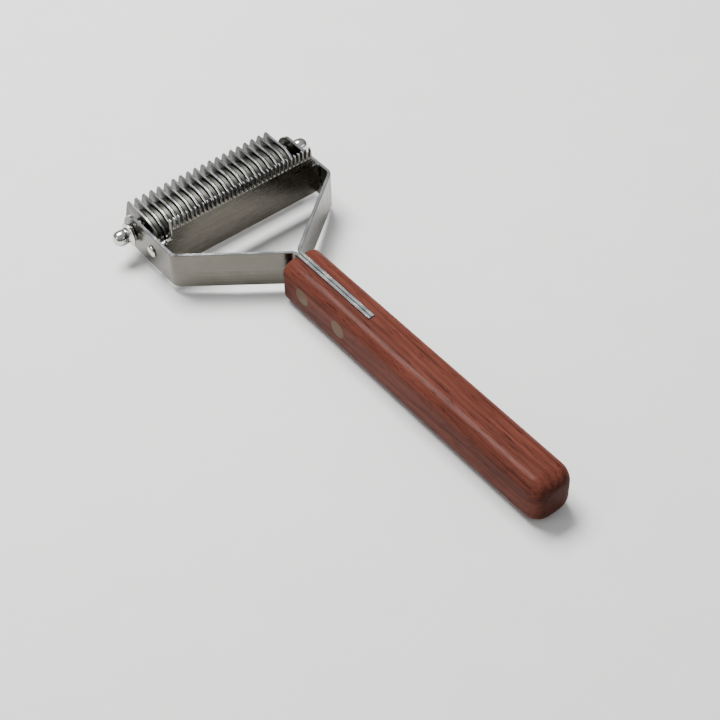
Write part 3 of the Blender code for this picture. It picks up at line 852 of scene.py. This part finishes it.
def end_disc(body, low, high):
    """A plain round spacer between LOW and HIGH."""
    plain_disc(body, whole_round((high.z - low.z) / 2, DISC_SIDES), high.x - low.x)
    bmesh.ops.translate(body, verts=body.verts, vec=((low.x + high.x) / 2, 0, 0))


for side_name in ("left", "right"):
    node_name = f"{side_name}_end_spacer"
    low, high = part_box(node_name)
    end = made(f"{side_name}_end_disc", lambda body: end_disc(body, low, high), spacer_finish, 30)
    fit(end, "root", "blade_steel", node_name)


# ---- Blades ---------------------------------------------------------------------------------
# Twenty hooked blades are blanked from hard stainless sheet. Each tooth's hollow side is ground
# to a cutting edge, the tip is left blunt to spare the skin, and the outer edge is polished.

TOOTH_TOP_REACH = 7.7 * MM
TOOTH_CORNER = 0.8 * MM
TIP_REACH = 12.0 * MM
TIP_DROP = 8.5 * MM
TIP_WIDE = 0.6 * MM
GULLET_REACH = 6.4 * MM
GULLET_DROP = 3.9 * MM
GULLET_RADIUS = 2.2 * MM
BLADE_CHAMFER = 0.13 * MM
EDGE_HALF_THICK = 0.06 * MM
GROUND_WIDE = 0.85 * MM
GROUND_NARROWS = 0.62 * MM
HUB_END_TURN = 315
GULLET_START, GULLET_END = 175, 15
# The blades' steel is coloured dark as painted shade, and their edges bright as painted highlight over the
# polish.
blade_finish = steel("blade steel", colour=(0.070, 0.068, 0.063), rough=0.30, stretch=(5000, 260, 5000),
                     line_depth=0.7, bump=0.25)


def blade(body):
    """One blade at X = 0: round hub, level top, hooked tooth with its hollow side ground sharp."""
    thick = blade_high.x - blade_low.x
    tip = Vector((TIP_REACH, -TIP_DROP))
    corner = Vector((TOOTH_TOP_REACH, HUB_HALF_HIGH))
    hub = hub_arc(0, 90, HUB_END_TURN, 44)
    hollow = arc((GULLET_REACH, -GULLET_DROP), GULLET_RADIUS, GULLET_START, GULLET_END, 16)
    point_end = Vector((tip.x - TIP_WIDE, tip.y))
    last = Vector(hollow[-1])
    edge = [tuple(last + (point_end - last) * i / 6) for i in range(1, 6)]
    round_tip = arc((tip.x - TIP_WIDE / 2, tip.y + TIP_WIDE / 2), TIP_WIDE / 2, 200, 340, 6)
    turn = arc((corner.x - TOOTH_CORNER, corner.y - TOOTH_CORNER), TOOTH_CORNER, 14, 90, 8)
    outline = hub + hollow + edge + round_tip + turn
    rim, inset = [], []
    for i in range(len(outline)):
        ground = i - len(hub)
        if 1 <= ground < len(hollow) + len(edge):
            share = ground / (len(hollow) + len(edge))
            rim.append(EDGE_HALF_THICK)
            inset.append(GROUND_WIDE - GROUND_NARROWS * share)
        else:
            rim.append(thick / 2 - BLADE_CHAMFER)
            inset.append(BLADE_CHAMFER)
    disc(body, outline, thick, rim, inset, 1.0)


blades = repeated(made("hooked_blades", blade, blade_finish, 28), BLADES, pitch)
fit(blades, "root", "blade_steel", *[f"blade_{k + 1:02d}" for k in range(BLADES)])


# ---- Washers and acorn nuts -----------------------------------------------------------------
# A thin washer and a flanged acorn nut close each end of the axle. Both are bright plated, and
# the nuts screw off so that the blades can be cleaned or turned round.

NUT_FLANGE_THICK = 0.5 * MM
NUT_NECK = 0.9 * MM
NUT_ACROSS = 5.0 * MM
NUT_DOME = 2.3 * MM
NUT_BORE = 1.8 * MM
NUT_BORE_DEEP = 3.4 * MM
NUT_CONE = 0.5 * MM
NUT_MOUTH, NUT_LEAD = 0.3 * MM, 0.2 * MM
NUT_EDGE, NUT_FILLET = 0.12 * MM, 0.15 * MM
NUT_BARREL = 0.25 * MM
DOME_FULLNESS = 0.62
for side_name, side in (("left", -1), ("right", 1)):
    low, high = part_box(f"{side_name}_acorn_nut")
    face = high.x if side < 0 else low.x
    long, flange, barrel = high.x - low.x, (high.z - low.z) / 2, NUT_ACROSS / 2
    profile = [(NUT_BORE_DEEP, 0), (NUT_BORE_DEEP - NUT_CONE, NUT_BORE * 0.8),
               (NUT_BORE_DEEP - NUT_CONE, NUT_BORE), (NUT_MOUTH, NUT_BORE), (0, NUT_BORE + NUT_LEAD),
               (0, flange - NUT_EDGE), (NUT_EDGE, flange), (NUT_FLANGE_THICK - NUT_FILLET, flange)]
    profile += [(NUT_FLANGE_THICK + NUT_NECK * t / 6, barrel - NUT_EDGE
                 + (flange - NUT_FILLET - barrel) * (1 - t / 6) ** 2) for t in range(7)]
    profile += [(NUT_FLANGE_THICK + NUT_NECK + NUT_BARREL, barrel)]
    profile += [(long - NUT_DOME * (1 - sin(t)), barrel * cos(t) ** DOME_FULLNESS)
                for t in (radians(6 * i) for i in range(15))] + [(long, 0)]
    nut = made(f"{side_name}_domed_nut", lambda body: turned(
        body, [(side * x, r) for x, r in profile], 64, (face, axle.y, axle.z)), plated, 35)
    fit(nut, f"{side_name}_nut_body", "plated_steel", f"{side_name}_acorn_nut")
    low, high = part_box(f"{side_name}_washer")
    washer = made(f"{side_name}_flat_washer", lambda body: end_disc(body, low, high), plated, 30)
    fit(washer, f"{side_name}_washer_body", "plated_steel", f"{side_name}_washer")


# ---- Table, lights and camera ---------------------------------------------------------------
# A plain pale table top that the comb lies on, under one large soft light from overhead and
# behind, with two weak ones at the side and in front.

TABLE_HALF = 1.2
TABLE_BELOW = 0.1 * MM
FLOOR_OF_SKY, TOP_OF_SKY, SKY_BEHIND = 0.10, 0.50, 0.62


def table_finish():
    """Matt, nearly even, pale board."""
    finish = bpy.data.materials.new("pale table")
    finish.use_nodes = True
    tree = finish.node_tree
    shader = tree.nodes["Principled BSDF"]
    shader.inputs["Roughness"].default_value = 0.75
    place = node(tree, "ShaderNodeTexCoord").outputs["Object"]
    noise = node(tree, "ShaderNodeTexNoise", scale=60.0, detail=4.0)
    wire(tree, place, noise.inputs["Vector"])
    tone = mixed(tree, noise.outputs[0], (0.84, 0.835, 0.82), (0.89, 0.885, 0.87))
    wire(tree, tone, shader.inputs["Base Color"])
    return finish


def table(body):
    """One flat square just under the comb."""
    bmesh.ops.create_grid(body, x_segments=1, y_segments=1, size=TABLE_HALF)
    bmesh.ops.translate(body, verts=body.verts, vec=(0, 0, -TABLE_BELOW))


floor = made("table_top", table, table_finish())
floor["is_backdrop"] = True


def soft_light(name, place, aim, size, power):
    """A soft rectangular lamp at PLACE that points at AIM."""
    lamp = bpy.data.lights.new(name, "AREA")
    lamp.energy = power
    lamp.shape = "RECTANGLE"
    lamp.size, lamp.size_y = size
    obj = link(name, lamp)
    obj.location = place
    obj.rotation_euler = (Vector(aim) - Vector(place)).to_track_quat("-Z", "Y").to_euler()


soft_light("overhead", place=(0.0, 0.36, 0.72), aim=(0, 0.02, 0), size=(0.45, 0.35), power=13.0)
soft_light("left_side", place=(-0.65, 0.15, 0.35), aim=(0, 0.03, 0), size=(0.25, 0.4), power=0.7)
soft_light("front_fill", place=(0.35, -0.6, 0.35), aim=(0, 0, 0), size=(0.4, 0.3), power=0.6)
world = bpy.data.worlds.new("studio")
bpy.context.scene.world = world
world.use_nodes = True
sky = world.node_tree
way = node(sky, "ShaderNodeSeparateXYZ")
wire(sky, node(sky, "ShaderNodeTexCoord").outputs["Generated"], way.inputs[0])
height = spread(sky, way.outputs[2], 0.0, 0.9, FLOOR_OF_SKY, TOP_OF_SKY)
sky.nodes["Background"].inputs[0].default_value = (0.95, 0.97, 1.0, 1)
seen = node(sky, "ShaderNodeLightPath").outputs["Is Camera Ray"]
strength = maths(sky, "MAXIMUM", height, maths(sky, "MULTIPLY", seen, SKY_BEHIND))
wire(sky, strength, sky.nodes["Background"].inputs[1])

lens = bpy.data.cameras.new("camera")
lens.lens = 75
lens.sensor_width = 36
camera = link("camera", lens)
camera.location = (-0.1807, -0.2398, 0.3186)
camera.rotation_euler = (radians(42.49), radians(1.22), radians(-38.52))
bpy.context.scene.camera = camera

low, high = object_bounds()
